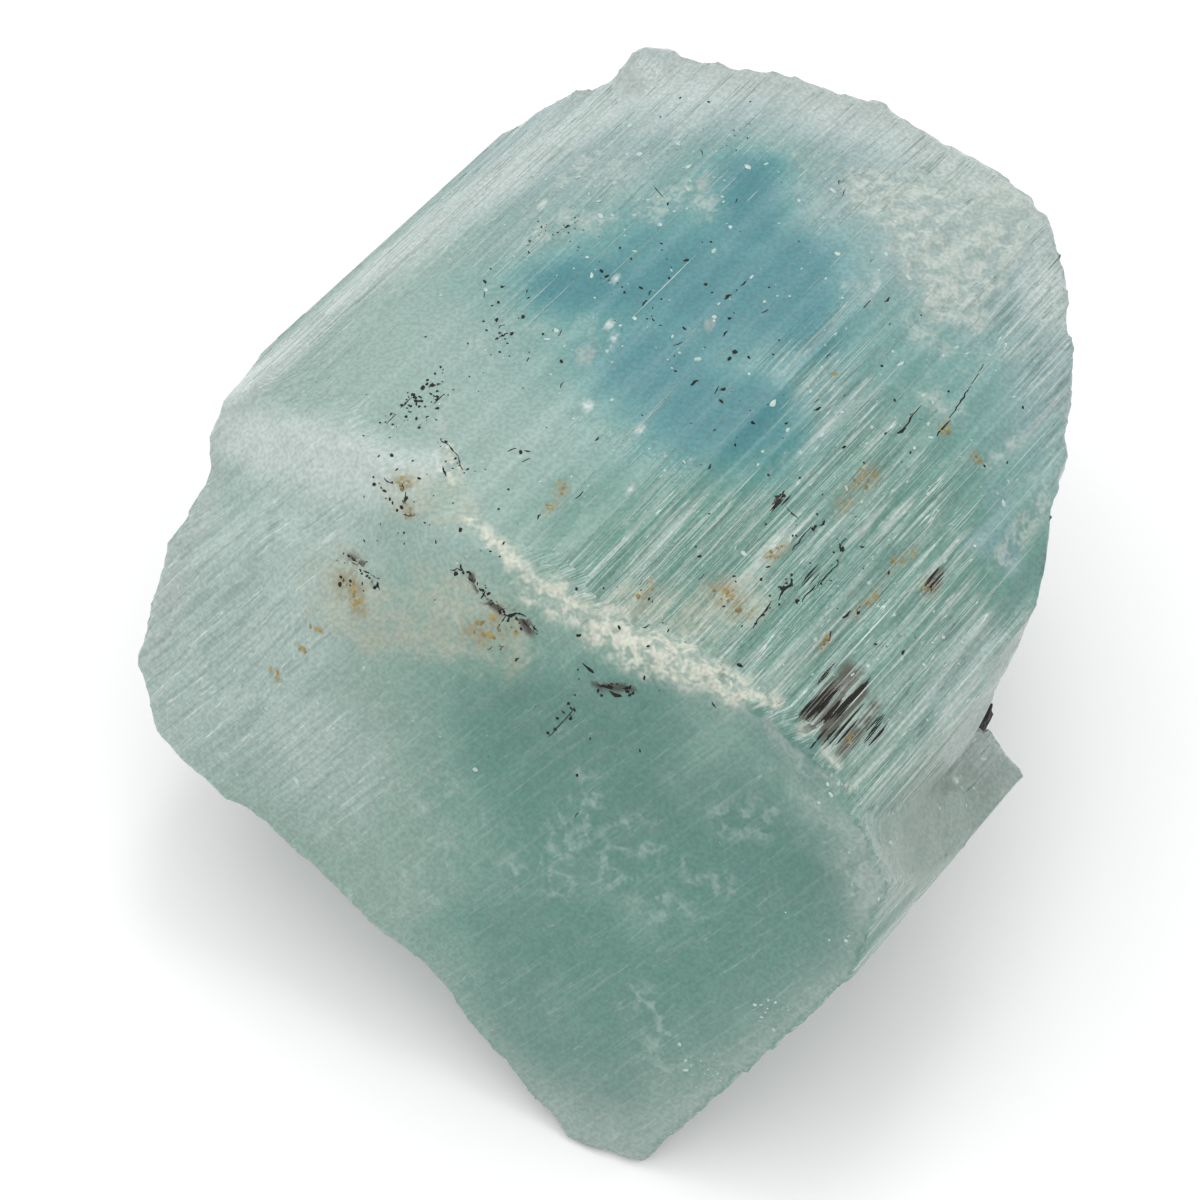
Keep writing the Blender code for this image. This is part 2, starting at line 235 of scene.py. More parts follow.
# Colours of the stone, of its lines and of what lies in it
COLOURS = {
    # The thin colour is painted light shining through the thin stone.
    "near_end": (132, 164, 152), "far_end": (140, 168, 168), "thin": (166, 178, 174),
    # The dark line and seam colours are painted shade in the fine grooves along the grain.
    "veil": (168, 188, 180), "band": (166, 186, 177), "groove_shade_line": (84, 124, 114),
    # The pale line and thread colours are partly pale streaks and white fractures, partly painted glints.
    "pale_line_and_glint": (192, 205, 197), "seam_shade": (66, 98, 90), "fracture_and_glint_thread": (216, 226, 220),
    "frost_low": (156, 172, 167), "frost_high": (180, 191, 184), "blush": (172, 178, 158),
    # The crest colours are partly the crest's pale stone and partly painted light, its high colour a painted
    # highlight; the fleck colour is partly painted glint.
    "crest_low": (168, 183, 171), "crest_highlight": (206, 209, 194), "fleck_and_glint": (206, 214, 208),
    "rust": (130, 120, 84), "mica": (70, 66, 52), "dirt": (50, 42, 34),
    "crumb_low": (142, 170, 162), "crumb_high": (202, 216, 210),
    "needle_low": (7, 6, 6), "needle_high": (34, 31, 27),
    "ochre_low": (108, 92, 44), "ochre_high": (158, 138, 78),
}

# Black needles and flakes: pixels of both ends and the width in mm
NEEDLES = (
    ((773, 505), (784, 490), 0.50), ((786, 506), (798, 519), 0.14), ((820, 526), (825, 521), 0.36),
    ((792, 550), (812, 527), 0.22), ((778, 600), (794, 580), 0.46), ((802, 600), (817, 585), 0.28),
    ((817, 585), (840, 562), 0.22), ((838, 538), (840, 552), 0.20), ((843, 618), (850, 610), 0.34),
    ((828, 641), (832, 632), 0.26), ((752, 628), (772, 600), 0.16), ((765, 612), (770, 604), 0.26),
    ((900, 432), (921, 405), 0.26), ((898, 434), (906, 428), 0.42), ((936, 436), (950, 420), 0.28),
    ((950, 418), (968, 390), 0.22), ((967, 392), (984, 364), 0.14), ((548, 737), (575, 708), 0.18),
    ((690, 384), (698, 380), 0.52), ((715, 394), (719, 386), 0.24), ((725, 300), (732, 295), 0.42),
    ((741, 286), (747, 281), 0.24), ((762, 313), (768, 309), 0.24), ((722, 336), (727, 331), 0.30),
    ((674, 346), (682, 342), 0.20), ((643, 306), (647, 300), 0.30), ((648, 295), (652, 291), 0.20),
    ((503, 336), (508, 333), 0.30), ((498, 328), (503, 325), 0.22), ((484, 298), (485, 292), 0.20),
    ((500, 288), (505, 286), 0.22), ((526, 293), (529, 290), 0.20), ((526, 362), (530, 358), 0.22),
    ((558, 336), (562, 330), 0.16), ((560, 388), (563, 382), 0.18), ((596, 441), (599, 437), 0.24),
    ((708, 469), (711, 464), 0.24), ((813, 410), (820, 406), 0.32), ((815, 402), (818, 399), 0.22),
    ((576, 499), (584, 492), 0.26), ((537, 519), (541, 515), 0.26), ((735, 203), (737, 199), 0.22),
    ((666, 205), (668, 202), 0.26), ((654, 186), (664, 198), 0.12), ((700, 150), (703, 155), 0.18),
    ((842, 196), (845, 188), 0.16), ((838, 184), (840, 180), 0.20), ((885, 302), (889, 297), 0.30),
    ((864, 308), (870, 300), 0.20), ((870, 262), (873, 259), 0.14), ((826, 358), (830, 354), 0.20),
    ((352, 558), (357, 562), 0.20), ((364, 570), (372, 576), 0.26), ((373, 576), (380, 579), 0.20),
    ((376, 584), (380, 589), 0.30), ((352, 562), (358, 566), 0.14), ((450, 570), (458, 569), 0.14),
    ((458, 569), (464, 572), 0.18), ((468, 578), (474, 584), 0.26), ((480, 598), (486, 592), 0.20),
    ((483, 592), (488, 600), 0.34), ((490, 606), (494, 602), 0.24), ((498, 612), (504, 608), 0.22),
    ((497, 628), (506, 616), 0.20), ((504, 616), (516, 612), 0.40), ((516, 612), (526, 616), 0.30),
    ((522, 620), (528, 628), 0.26), ((530, 622), (538, 632), 0.22), ((488, 650), (492, 646), 0.16),
    ((500, 650), (504, 646), 0.26), ((516, 662), (519, 658), 0.26), ((582, 664), (594, 672), 0.32),
    ((598, 684), (612, 690), 0.34), ((610, 690), (622, 696), 0.30), ((622, 688), (632, 686), 0.44),
    ((712, 702), (716, 708), 0.24), ((440, 441), (449, 446), 0.20), ((449, 446), (458, 456), 0.16),
    ((458, 456), (462, 470), 0.14), ((443, 466), (447, 476), 0.18), ((386, 424), (396, 414), 0.14),
    ((400, 408), (412, 398), 0.16), ((434, 404), (444, 394), 0.16), ((384, 478), (392, 484), 0.24),
    ((402, 484), (404, 490), 0.16), ((406, 492), (404, 504), 0.20), ((403, 515), (414, 516), 0.14),
    ((508, 452), (516, 448), 0.18), ((522, 462), (530, 458), 0.16), ((840, 546), (846, 538), 0.20),
    ((930, 592), (936, 580), 0.30), ((938, 580), (941, 574), 0.34), ((642, 628), (650, 624), 0.16),
    ((574, 817), (578, 812), 0.16), ((640, 585), (642, 580), 0.16), ((699, 580), (704, 574), 0.18),
)

# Dark plates along the prism: (number, radius of the area, middle pixel, longest and widest in mm)
PLATES = (
    (34, 1.5, (836, 706), 3.0, 0.34), (9, 0.6, (872, 728), 2.0, 0.22), (9, 0.6, (934, 577), 1.6, 0.22),
    (6, 0.5, (779, 500), 1.6, 0.30), (5, 0.6, (812, 580), 2.2, 0.16),
)
# Dotted trails of dark grains: (number, pixels of the line)
TRAILS = (
    (16, ((343, 552), (356, 568), (375, 590))), (22, ((458, 568), (490, 598), (512, 618))),
    (12, ((498, 612), (545, 632))), (10, ((598, 684), (632, 690))), (16, ((405, 402), (450, 390))),
    (22, ((362, 442), (410, 400), (447, 370))), (12, ((372, 478), (410, 520))), (8, ((440, 440), (464, 476))),
    (8, ((500, 328), (508, 354))), (10, ((545, 738), (578, 706))), (10, ((752, 628), (800, 562))),
    (8, ((795, 606), (838, 552))), (7, ((560, 232), (575, 222))), (7, ((330, 590), (352, 580))),
)

# Scattered grains: (number, radius in mm of the area, middle pixel, least and greatest size in mm)
SPECKS = (
    (40, 5.5, (670, 290), 0.12, 0.36), (28, 4.0, (510, 330), 0.12, 0.34), (34, 2.4, (420, 415), 0.10, 0.30),
    (22, 2.4, (560, 240), 0.10, 0.26), (26, 4.5, (470, 500), 0.10, 0.30), (34, 6.0, (820, 560), 0.12, 0.40),
    (16, 3.0, (390, 500), 0.12, 0.32), (20, 6.0, (760, 420), 0.10, 0.30), (12, 6.0, (560, 720), 0.12, 0.30),
    (22, 8.0, (900, 400), 0.10, 0.30), (16, 5.0, (720, 150), 0.10, 0.24), (16, 3.0, (640, 610), 0.12, 0.30),
)
CRUMBS = (
    (20, 6.0, (700, 330), 0.12, 0.40), (60, 9.0, (860, 330), 0.12, 0.5), (50, 8.0, (560, 330), 0.1, 0.4),
    (60, 6.0, (640, 190), 0.12, 0.5), (40, 7.0, (940, 470), 0.1, 0.4), (40, 10.0, (560, 520), 0.1, 0.35),
    (40, 6.0, (900, 620), 0.1, 0.4), (40, 7.0, (300, 720), 0.1, 0.35), (30, 5.0, (870, 860), 0.1, 0.4),
    (24, 4.0, (960, 780), 0.1, 0.4), (20, 1.6, (700, 1070), 0.1, 0.3), (20, 1.6, (780, 1020), 0.1, 0.3),
)


def linear(*srgb):
    """Linear colour of an sRGB one given in 0 to 255."""
    return tuple(((c / 255 + 0.055) / 1.055) ** 2.4 if c > 10 else c / 255 / 12.92 for c in srgb) + (1.0,)


def paint(name):
    return linear(*COLOURS[name])


def smooth_step(low, high, value):
    share = np.clip((value - low) / (high - low), 0.0, 1.0)
    return share * share * (3 - 2 * share)


def to_prism():
    turn = Matrix.Rotation(-PRISM_AZIMUTH, 4, "Z")
    return turn @ Matrix.Translation(-PRISM_ORIGIN)


class Photo:
    """The photograph's camera, and the points of a surface that its pixels show."""

    forward = Vector((0, math.cos(VIEW_ELEVATION), -math.sin(VIEW_ELEVATION)))
    up = Vector((0, math.sin(VIEW_ELEVATION), math.cos(VIEW_ELEVATION)))
    right = Vector((1, 0, 0))
    place = PRISM_ORIGIN + Vector((0, 0, VIEW_HEIGHT)) - forward * VIEW_DISTANCE

    def __init__(self, obj):
        self.mesh = obj.data
        self.tree = BVHTree.FromObject(obj, bpy.context.evaluated_depsgraph_get())

    def hit(self, px, py):
        """Point and normal of the surface at a pixel, or (None, None) past its outline."""
        width = SENSOR / LENS / PHOTO_SIZE
        ray = self.forward + self.right * (px - PHOTO_SIZE / 2) * width
        ray += self.up * (PHOTO_SIZE / 2 - py) * width
        point, normal, _, _ = self.tree.ray_cast(self.place, ray.normalized())
        return point, normal


def linked(name, mesh):
    made = bpy.data.objects.new(name, mesh)
    bpy.context.scene.collection.objects.link(made)
    return made


def fine_mesh(node):
    """The CAD solid's mesh in the prism's frame, remeshed finely."""
    squeeze = Matrix.Diagonal((1 / VOXEL_STRETCH, 1, 1, 1))
    mesh = bpy.data.objects[node].data.copy()
    mesh.transform(squeeze @ to_prism())
    carrier = linked("carrier", mesh)
    remesh = carrier.modifiers.new("voxels", "REMESH")
    remesh.mode = "VOXEL"
    remesh.voxel_size = VOXEL
    remesh.adaptivity = 0.0
    bpy.context.view_layer.update()
    fine = bpy.data.meshes.new_from_object(carrier.evaluated_get(bpy.context.evaluated_depsgraph_get()))
    bpy.data.objects.remove(carrier)
    fine.transform(squeeze.inverted())
    fine.materials.clear()
    return fine


def coordinates(mesh):
    places = np.empty(len(mesh.vertices) * 3, np.float32)
    mesh.vertices.foreach_get("co", places)
    return places.reshape(-1, 3) / MM


def normals(mesh):
    found = np.empty(len(mesh.vertices) * 3, np.float32)
    mesh.vertex_normals.foreach_get("vector", found)
    return found.reshape(-1, 3)


def waves(places, scale, seed, octaves=2):
    """Noise at each place, for waves about scale mm long in each direction."""
    offset = Vector((seed * 5.3, seed * 1.7, -seed * 3.1))
    out = np.empty(len(places))
    for i, (x, y, z) in enumerate((places / scale).tolist()):
        out[i] = noise.fractal(Vector((x, y, z)) + offset, 1.0, 2.0, octaves)
    return out


def distances(places, line):
    """Distance of each place to a line through the given points."""
    if len(line) == 1:
        return np.linalg.norm(places - line[0], axis=1)
    best = np.full(len(places), np.inf)
    for start, end in zip(line, line[1:]):
        run = end - start
        share = np.clip((places - start) @ run / max(run @ run, 1e-9), 0, 1)
        best = np.minimum(best, np.linalg.norm(places - start - share[:, None] * run, axis=1))
    return best


def zone(places, photo, spots, edge, soft):
    """1 inside the zone's spots and lines and 0 outside, with a ragged or a soft edge."""
    inside = np.zeros(len(places))
    for radius, pixels in spots:
        hits = [photo.hit(*pixel)[0] for pixel in pixels]
        line = [np.array(to_prism() @ point) / MM for point in hits if point]
        if line:
            reach = distances(places, line) / radius + edge
            inside = np.maximum(inside, 1 - smooth_step(1 - soft, 1 + soft, reach))
    return inside


def thinness(places, facing, tree):
    """Near 1 where the stone is thin behind the surface, near 0 over its thick middle."""
    turn = to_prism().inverted()
    rng = random.Random(5)
    total = np.zeros(len(places))
    for _ in range(THIN_RAYS):
        tilt = Vector((rng.uniform(-1, 1), rng.uniform(-1, 1), rng.uniform(-1, 1))) * RAY_SPREAD
        for i, (place, normal) in enumerate(zip(places.tolist(), facing.tolist())):
            way = (tilt - Vector(normal)).normalized()
            start = turn @ (Vector(place) * MM) + (turn.to_3x3() @ way) * RAY_START * MM
            depth = tree.ray_cast(start, turn.to_3x3() @ way)[3]
            total[i] += math.exp(-depth / (THIN_FADE * MM)) if depth else 1.0
    return total / THIN_RAYS


def broad_normals(mesh, facing, rounds=24):
    """The surface's directions with its small relief averaged out."""
    ends = np.empty(len(mesh.edges) * 2, np.int32)
    mesh.edges.foreach_get("vertices", ends)
    start, end = ends.reshape(-1, 2).T
    broad = facing.astype(float)
    for _ in range(rounds):
        total = np.stack([np.bincount(start, broad[end, k], len(broad)) for k in range(3)], 1)
        total += np.stack([np.bincount(end, broad[start, k], len(broad)) for k in range(3)], 1)
        broad = total / np.linalg.norm(total, axis=1, keepdims=True)
    return broad


def store(mesh, name, values):
    layer = mesh.attributes.new(name, "FLOAT", "POINT")
    layer.data.foreach_set("value", np.ascontiguousarray(values, np.float32))


def grain_maps(places, broad_facing):
    """Noise coordinates in which growth lines run along the prism and up its broken front faces,
    and which of them each place uses."""
    chosen = np.zeros(len(places), int)
    maps = [places / (STREAK_STRETCH, 1, 1)]
    closest = np.full(len(places), 0.80)
    for number, (normal, streak) in enumerate(STREAKED_FACES, 1):
        inward = np.array(normal) / STREAK_DEPTH
        axes = np.stack((np.array(streak) / STREAK_STRETCH, np.cross(streak, normal), inward), 1)
        maps.append(places @ axes)
        likeness = broad_facing @ normal
        chosen[likeness > closest] = number
        closest = np.maximum(closest, likeness)
    return np.stack(maps), chosen


def store_grain(mesh, maps, chosen):
    """Keeps the grain by face corner, so that it never stretches between two of its maps."""
    corners = np.empty(len(mesh.loops), np.int32)
    mesh.loops.foreach_get("vertex_index", corners)
    counts = np.empty(len(mesh.polygons), np.int32)
    mesh.polygons.foreach_get("loop_total", counts)
    firsts = corners[np.cumsum(counts) - counts]
    values = maps[np.repeat(chosen[firsts], counts), corners]
    layer = mesh.attributes.new("lines", "FLOAT_VECTOR", "CORNER")
    layer.data.foreach_set("vector", np.ascontiguousarray(values, np.float32).ravel())


def surface_masks(places, facing, lines, photo):
    """What each place shows: the photo's zones, and patterns that fill them."""
    prism = 1 - smooth_step(0.22, 0.42, np.abs(facing[:, 0]))
    right = smooth_step(2.0, -7.0, places[:, 1])
    ragged = 0.6 * waves(places, (2.0, 1.2, 1.2), 1, 5)
    wide = waves(places, (7.0, 4.0, 4.0), 2, 3)
    masks = {}
    for name, (rough, soft, spots) in ZONES.items():
        edge = wide if soft > 0.55 else wide * 0.3 + ragged
        masks[name] = zone(places, photo, spots, rough * edge, soft)
    masks.update({
        "prism": prism,
        "right": prism * right,
        "thin": thinness(places, facing, photo.tree),
        "cloud": 0.5 + 0.5 * waves(places, (5.5, 3.6, 3.6), 3, 5),
        "band": 0.5 + 0.5 * waves(lines, (1.3, 1.4, 1.4), 4, 3),
        "wisp": 1 - np.abs(waves(places, (2.0, 1.6, 1.6), 5, 4)) * 2.6,
        "zoning": smooth_step(-8.0, 26.0, places[:, 0] + 4 * wide),
    })
    return masks


def relief(places, masks):
    """How far in mm each place is lifted: ribs on the prism, ledges and grit on the breaks, the
    crumpled crest, frosted spots, cracks and the groove."""
    prism, right = masks["prism"], smooth_step(2.0, -7.0, places[:, 1])
    broad = waves(places, (60.0, 2.3, 2.3), 11, 2) * (BROAD_RIBS[0] + BROAD_RIBS[1] * right)
    narrow = waves(places, (30.0, 0.8, 0.8), 12, 2) * (NARROW_RIBS[0] + NARROW_RIBS[1] * right)
    parted = smooth_step(-0.25, 0.35, waves(places, (9.0, 1.8, 1.8), 13, 2))
    ledges = waves(places, (3.2, 2.4, 2.4), 14, 3)
    grit = waves(places, (0.9, 0.8, 0.8), 15, 2)
    strands = 0.5 - np.abs(waves(places, (0.8, 2.6, 0.8), 16, 4))
    lift = prism * (1 - 0.8 * masks["calm"]) * (broad + narrow * parted)
    lift += (1 - prism) * (LEDGES * ledges + GRIT * grit)
    lift += masks["cream_and_lit_crest"] * (CREST_STRANDS * strands + CREST_GRIT * grit - CREST_FOOT)
    lift += masks["frost"] * (FROST_STRANDS * strands + FROST_GRIT * grit - FROST_DEPTH)
    lift -= masks["crack"] * CRACK_DEPTH + masks["groove"] * GROOVE_DEPTH * prism
    return np.clip(lift, *LIFT_LIMITS)


def crystal_surface(photo):
    mesh = fine_mesh("aquamarine_crystal")
    places, facing = coordinates(mesh), normals(mesh)
    maps, chosen = grain_maps(places, broad_normals(mesh, facing))
    masks = surface_masks(places, facing, maps[chosen, np.arange(len(places))], photo)
    lift = relief(places, masks)
    lift[places[:, 2] < REST_HEIGHT] = 0
    places = places + facing * lift[:, None]
    places[:, 2] = np.maximum(places[:, 2], 0)

    store_grain(mesh, *grain_maps(places, broad_normals(mesh, facing)))
    for name, values in masks.items():
        store(mesh, name, values)

    mesh.vertices.foreach_set("co", (places * MM).astype(np.float32).ravel())
    mesh.transform(to_prism().inverted())
    mesh.shade_smooth()
    return linked("crystal_surface", mesh), masks


class Nodes:
    """A material's node tree, with one short call for each node it uses."""

    def __init__(self, name):
        self.material = bpy.data.materials.new(name)
        self.material.use_nodes = True
        self.tree = self.material.node_tree
        self.shader = self.tree.nodes["Principled BSDF"]
        self.output = self.tree.nodes["Material Output"]

    def put(self, socket, value):
        if isinstance(value, bpy.types.NodeSocket):
            self.tree.links.new(value, socket)
        else:
            socket.default_value = value

    def attribute(self, name, output="Fac"):
        node = self.tree.nodes.new("ShaderNodeAttribute")
        node.attribute_name = name
        return node.outputs[output]

    def position(self):
        return self.tree.nodes.new("ShaderNodeTexCoord").outputs["Object"]

    def noise(self, vector, scale, detail=2.0, roughness=0.5, distortion=0.0):
        node = self.tree.nodes.new("ShaderNodeTexNoise")
        node.inputs["Scale"].default_value = scale
        node.inputs["Detail"].default_value = detail
        node.inputs["Roughness"].default_value = roughness
        node.inputs["Distortion"].default_value = distortion
        self.put(node.inputs["Vector"], vector)
        return node.outputs["Fac"]

    def step(self, value, low, high, to_low=0.0, to_high=1.0):
        node = self.tree.nodes.new("ShaderNodeMapRange")
        node.interpolation_type = "SMOOTHSTEP"
        self.put(node.inputs["Value"], value)
        node.inputs["From Min"].default_value = low
        node.inputs["From Max"].default_value = high
        node.inputs["To Min"].default_value = to_low
        node.inputs["To Max"].default_value = to_high
        return node.outputs["Result"]

    def math(self, operation, first, second=0.0):
        node = self.tree.nodes.new("ShaderNodeMath")
        node.operation = operation
        self.put(node.inputs[0], first)
        self.put(node.inputs[1], second)
        return node.outputs[0]

    def times(self, first, second):
        return self.math("MULTIPLY", first, second)

    def hairline(self, value, width):
        """1 along the thin lines where a noise crosses its middle."""
        return self.step(self.math("ABSOLUTE", self.math("SUBTRACT", value, 0.5)), width, 0.0)

    def mix(self, share, first, second):
        node = self.tree.nodes.new("ShaderNodeMix")
        node.data_type = "RGBA"
        self.put(node.inputs["Factor"], share)
        self.put(node.inputs[6], first)
        self.put(node.inputs[7], second)
        return node.outputs[2]

    def shade(self, colour, amount):
        """The colour made lighter or darker by the amount."""
        node = self.tree.nodes.new("ShaderNodeVectorMath")
        node.operation = "SCALE"
        self.put(node.inputs[0], colour)
        self.put(node.inputs["Scale"], amount)
        return node.outputs[0]

    def bump(self, height, distance, strength=1.0):
        node = self.tree.nodes.new("ShaderNodeBump")
        node.inputs["Strength"].default_value = strength
        node.inputs["Distance"].default_value = distance
        self.put(node.inputs["Height"], height)
        return node.outputs["Normal"]


def stone_colour(n, at):
    """The stone's colour: the prism's two ends and the tints of its zones, some of them painted shade and
    light, with thin edges painted pale as light shining through them.
    """
    colour = n.mix(at["zoning"], paint("near_end"), paint("far_end"))
    for name, tint, share in TINTS:
        colour = n.mix(n.times(at[name], share), colour, linear(*tint))
    # Thin edges: painted light shining through the thin stone.
    return n.mix(n.step(at["thin"], 0.16, 0.50, 0.0, 0.6), colour, paint("thin"))


def veils(n, at, mottle):
    """How much each place is veiled by white wisps inside the stone."""
    hazy = n.math("MAXIMUM", n.step(at["cloud"], 0.44, 0.68, 0.0, 0.7), at["veil"])
    hazy = n.times(hazy, n.step(n.math("SUBTRACT", at["teal_and_front_shade"], at["veil"]), 0.2, 0.9, 1.0, 0.3))
    wispy = n.math("ADD", n.times(at["wisp"], 0.6), mottle)
    veil = n.times(n.step(wispy, 0.60, 1.30, 0.0, 0.55), hazy)
    return n.times(veil, n.step(at["window"], 0.3, 0.9, 1.0, 0.25))


def growth_lines(n, at, lines, streaks, busy, colour):
    """The colour with bands, dark lines and seams painted as shade in the grooves, and pale lines and bright
    threads along the grain that are partly painted glints.
    """
    lined = n.math("ADD", 0.09, n.times(at["prism"], 0.13))
    lined = n.math("ADD", n.times(at["right"], 0.55), lined)
    lined = n.math("ADD", lined, n.times(at["left"], 0.28))
    lined = n.times(lined, busy)
    banded = n.times(n.step(at["band"], 0.46, 0.72), n.times(lined, 0.45))
    colour = n.mix(banded, colour, paint("band"))
    # Dark lines: painted shade in the grooves between the ribs, fainter at the rim.
    dark = n.times(n.step(streaks, 0.45, 0.36), n.times(lined, n.step(at["rim"], 0.0, 0.8, 0.7, 0.2)))
    colour = n.mix(dark, colour, paint("groove_shade_line"))
    # Pale lines: partly pale streaks, partly painted highlights on the ribs.
    pale = n.times(n.step(streaks, 0.54, 0.66), n.times(lined, 0.95))
    colour = n.mix(pale, colour, paint("pale_line_and_glint"))
    # Seams: painted shade in hairline grooves.
    seam_shade = n.times(n.hairline(n.math("ADD", streaks, 0.09), 0.012), lined)
    colour = n.mix(seam_shade, colour, paint("seam_shade"))
    # Bright threads: partly white fractures, partly painted glints along the grain.
    hairs = n.noise(lines, 3.8, 0.0, 0.5)
    fracture_and_glint_thread = n.times(n.hairline(hairs, 0.016), n.step(streaks, 0.40, 0.54))
    fracture_and_glint_thread = n.times(fracture_and_glint_thread, n.math("MINIMUM", n.times(lined, 2.2), 0.9))
    return n.mix(fracture_and_glint_thread, colour, paint("fracture_and_glint_thread"))


def beryl(names):
    """Clear to milky beryl: tints by zone, growth lines, frosted and stained spots, with painted shade, light
    and glints among its tints, lines, crest and flecks.
    """
    n = Nodes("beryl")
    lines = n.attribute("lines", "Vector")
    at = {name: n.attribute(name) for name in names}
    streaks = n.noise(lines, 3.0, 2.0, 0.6)
    mottle = n.noise(n.position(), 1000.0, 2.0, 0.75)
    busy = n.step(n.math("MAXIMUM", at["calm"], at["smooth"]), 0.0, 0.9, 1.0, 0.06)

    veil = veils(n, at, mottle)
    colour = n.mix(veil, stone_colour(n, at), paint("veil"))
    colour = growth_lines(n, at, lines, streaks, busy, colour)

    frost = n.math("MAXIMUM", n.times(at["frost"], n.step(mottle, 0.34, 0.54, 0.70, 0.95)),
                   n.times(at["rime"], n.step(mottle, 0.40, 0.60, 0.10, 0.60)))
    frosted = n.mix(n.step(mottle, 0.42, 0.58), paint("frost_low"), paint("frost_high"))
    colour = n.mix(frost, colour, frosted)
    blush = n.times(at["blush"], n.step(mottle, 0.36, 0.56, 0.25, 0.65))
    colour = n.mix(blush, colour, paint("blush"))
    # The crest: pale crumbly stone, with painted light and highlights where it faces the light above.
    cream_and_lit_crest = n.times(at["cream_and_lit_crest"], n.step(mottle, 0.36, 0.52, 0.45, 0.95))
    crest = n.mix(n.step(mottle, 0.44, 0.58), paint("crest_low"), paint("crest_highlight"))
    colour = n.mix(cream_and_lit_crest, colour, crest)
    # Flecks: small white specks, partly painted glints.
    fleck_and_glint = n.times(at["fleck_and_glint"], n.step(mottle, 0.36, 0.50, 0.3, 0.9))
    colour = n.mix(fleck_and_glint, colour, paint("fleck_and_glint"))
    rust = n.step(n.math("ADD", mottle, n.times(streaks, 0.4)), 0.60, 0.76, 0.15, 0.7)
    rust = n.times(at["stain"], rust)
    colour = n.mix(rust, colour, paint("rust"))
    flaky = n.step(n.math("ADD", streaks, n.times(mottle, 0.5)), 0.92, 0.72, 0.20, 0.95)
    flaky = n.times(at["mica"], flaky)
    colour = n.mix(flaky, colour, paint("mica"))
    dirt = n.times(at["crack"], n.step(mottle, 0.48, 0.56))
    colour = n.mix(dirt, colour, paint("dirt"))
    fine = n.step(n.noise(n.position(), 4200.0, 0.0), 0.25, 0.75, 0.775, 0.955)
    n.put(n.shader.inputs["Base Color"], n.shade(colour, fine))

    milky = n.math("MAXIMUM", n.math("MAXIMUM", frost, cream_and_lit_crest), n.math("MAXIMUM", veil, fleck_and_glint))
    grain = n.math("ADD", n.step(milky, 0.0, 1.0, 0.20, 0.58), n.step(streaks, 0.3, 0.7, -0.05, 0.10))
    n.put(n.shader.inputs["Roughness"], n.math("ADD", grain, n.times(at["calm"], 0.15)))
    opaque = n.math("MAXIMUM", milky, n.math("MAXIMUM", flaky, n.math("MAXIMUM", dirt, rust)))
    clear = n.math("MAXIMUM", n.times(at["teal_and_front_shade"], 0.18), 0.10)
    clear = n.math("MAXIMUM", n.times(at["window"], 0.35), clear)
    clear = n.times(clear, n.step(opaque, 0.0, 1.0, 1.0, 0.0))
    n.put(n.shader.inputs["Transmission Weight"], clear)
    n.shader.inputs["IOR"].default_value = BERYL_IOR

    ribbed = n.times(streaks, n.times(n.step(at["prism"], 0.0, 1.0, 0.25, 1.0), busy))
    height = n.math("ADD", ribbed, n.times(mottle, n.step(at["window"], 0.2, 0.9, 0.4, 0.2)))
    n.put(n.shader.inputs["Normal"], n.bump(height, 0.22 * MM, 0.6))

    absorb = n.tree.nodes.new("ShaderNodeVolumeAbsorption")
    absorb.inputs["Color"].default_value = ABSORPTION
    absorb.inputs["Density"].default_value = ABSORPTION_DENSITY
    n.tree.links.new(absorb.outputs["Volume"], n.output.inputs["Volume"])
    return n.material


def pale_beryl():
    n = Nodes("pale_beryl")
    shade = n.noise(n.position(), 260.0, 2.0)
    n.put(n.shader.inputs["Base Color"], n.mix(shade, paint("crumb_low"), paint("crumb_high")))
    n.put(n.shader.inputs["Roughness"], n.step(shade, 0.3, 0.7, 0.15, 0.35))
    n.shader.inputs["Transmission Weight"].default_value = CRUMB_CLEARNESS
    n.shader.inputs["IOR"].default_value = BERYL_IOR
    return n.material


def dark_mineral():
    n = Nodes("mica")
    flakes = n.noise(n.position(), 900.0, 4.0, 0.65, 1.5)
    colour = n.mix(n.step(flakes, 0.35, 0.65), paint("needle_low"), paint("needle_high"))
    n.put(n.shader.inputs["Base Color"], colour)
    n.shader.inputs["Specular IOR Level"].default_value = NEEDLE_SPECULAR
    n.put(n.shader.inputs["Roughness"], n.step(flakes, 0.3, 0.7, 0.35, 0.75))
    n.put(n.shader.inputs["Normal"], n.bump(flakes, 0.15 * MM, 0.8))
    return n.material


def ochre():
    n = Nodes("ochre")
    shade = n.noise(n.position(), 1400.0, 3.0, 0.6)
    colour = n.mix(n.step(shade, 0.35, 0.65), paint("ochre_low"), paint("ochre_high"))
    n.put(n.shader.inputs["Base Color"], colour)
    n.put(n.shader.inputs["Roughness"], n.step(shade, 0.3, 0.7, 0.45, 0.8))
    return n.material


def strip(shape, centres, outward, sides, halves, proud, sunk):
    """A thin lens-shaped strip along the given points, its foot sunk in the surface."""
    rows = []
    for centre, out, side, half in zip(centres, outward, sides, halves):
        rows.append([shape.verts.new(centre + side * half - out * sunk * 0.3),
                     shape.verts.new(centre + out * proud),
                     shape.verts.new(centre - side * half - out * sunk * 0.3),
                     shape.verts.new(centre - out * sunk)])
    for low, high in zip(rows, rows[1:]):
        for k in range(4):
            shape.faces.new((low[k], high[k], high[(k + 1) % 4], low[(k + 1) % 4]))
    shape.faces.new(rows[0])
    shape.faces.new(rows[-1][::-1])


